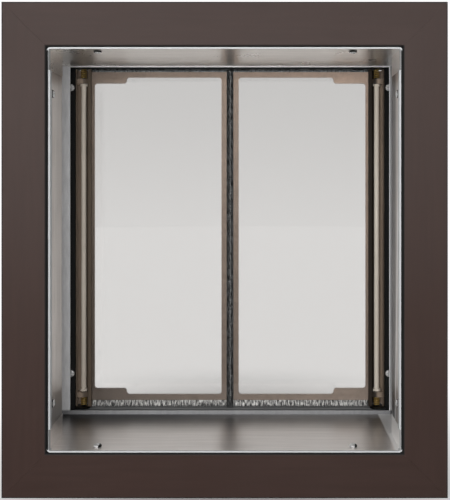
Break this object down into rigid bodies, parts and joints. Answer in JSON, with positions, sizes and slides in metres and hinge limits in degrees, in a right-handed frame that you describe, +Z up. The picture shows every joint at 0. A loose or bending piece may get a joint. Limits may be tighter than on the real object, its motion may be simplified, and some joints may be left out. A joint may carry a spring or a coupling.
{
  "type": "two-leaf wall pet door",
  "caption": "Wall-mounted pet door: mitred bronze trim frames, bright aluminium sleeve and a pair of sprung clear leaves with pile seals that swing both ways.",
  "frame": {"origin": "on the line that the two frames stand on, midway between front and rear faces, on the centre line", "axes": "+Z up, +Y through the wall from the front face to the rear face, +X to the right seen from the front"},
  "size_m": [0.446, 0.144, 0.496],
  "materials": {
    "bronze_anodised": "satin, dark bronze anodised",
    "sleeve_aluminium": "bright rolled sheet",
    "ring_aluminium": "satin",
    "key_aluminium": "mill",
    "fastener_steel": "zinc plated",
    "spring_brass": "drawn wire",
    "acrylic": "clear, lightly tinted",
    "tan_plastic": "matte",
    "brown_plastic": "satin",
    "ivory_nylon": "semi-gloss",
    "pile": "woven pile"
  },
  "bodies": {
    "frame": {"front_corner_keys": "key_aluminium", "front_rail_bottom": "bronze_anodised", "front_rail_left": "bronze_anodised", "front_rail_right": "bronze_anodised", "front_rail_top": "bronze_anodised", "head_bar": "bronze_anodised", "jamb_nut_plates": "fastener_steel", "jamb_screws": "fastener_steel", "pivot_bottom_left": "fastener_steel", "pivot_bottom_right": "fastener_steel", "pivot_top_left": "fastener_steel", "pivot_top_right": "fastener_steel", "pocket_liner_left": "sleeve_aluminium", "pocket_liner_right": "sleeve_aluminium", "rear_corner_keys": "key_aluminium", "rear_rail_bottom": "bronze_anodised", "rear_rail_left": "bronze_anodised", "rear_rail_right": "bronze_anodised", "rear_rail_top": "bronze_anodised", "ring_bottom": "ring_aluminium", "ring_left": "ring_aluminium", "ring_right": "ring_aluminium", "ring_top": "ring_aluminium", "sill_bar": "bronze_anodised", "sleeve_ceiling": "sleeve_aluminium", "sleeve_floor": "sleeve_aluminium", "sleeve_rivets": "fastener_steel", "sleeve_screws": "fastener_steel", "sleeve_side_left": "sleeve_aluminium", "sleeve_side_right": "sleeve_aluminium", "spring_bottom_left": "spring_brass", "spring_bottom_right": "spring_brass", "spring_top_left": "spring_brass", "spring_top_right": "spring_brass"},
    "leaf_left": {"pane_front_left": "acrylic", "pane_rear_left": "acrylic", "spacer_left": "tan_plastic", "barrel_left": "brown_plastic", "rod_left": "ivory_nylon", "pile_top_left": "pile", "pile_bottom_left": "pile", "pile_meeting_left": "pile"},
    "leaf_right": {"pane_front_right": "acrylic", "pane_rear_right": "acrylic", "spacer_right": "tan_plastic", "barrel_right": "brown_plastic", "rod_right": "ivory_nylon", "pile_top_right": "pile", "pile_bottom_right": "pile", "pile_meeting_right": "pile"}
  },
  "joints": [
    {"name": "leaf_left_swing", "type": "hinge", "parent": "frame", "child": "leaf_left", "pos_m": [-0.1715, 0.05, 0.25], "axis": [0, 0, 1], "range_deg": [-85, 85], "stiffness_Nm_per_rad": 0.6},
    {"name": "leaf_right_swing", "type": "hinge", "parent": "frame", "child": "leaf_right", "pos_m": [0.1715, 0.05, 0.25], "axis": [0, 0, 1], "range_deg": [-85, 85], "stiffness_Nm_per_rad": 0.6}
  ]
}
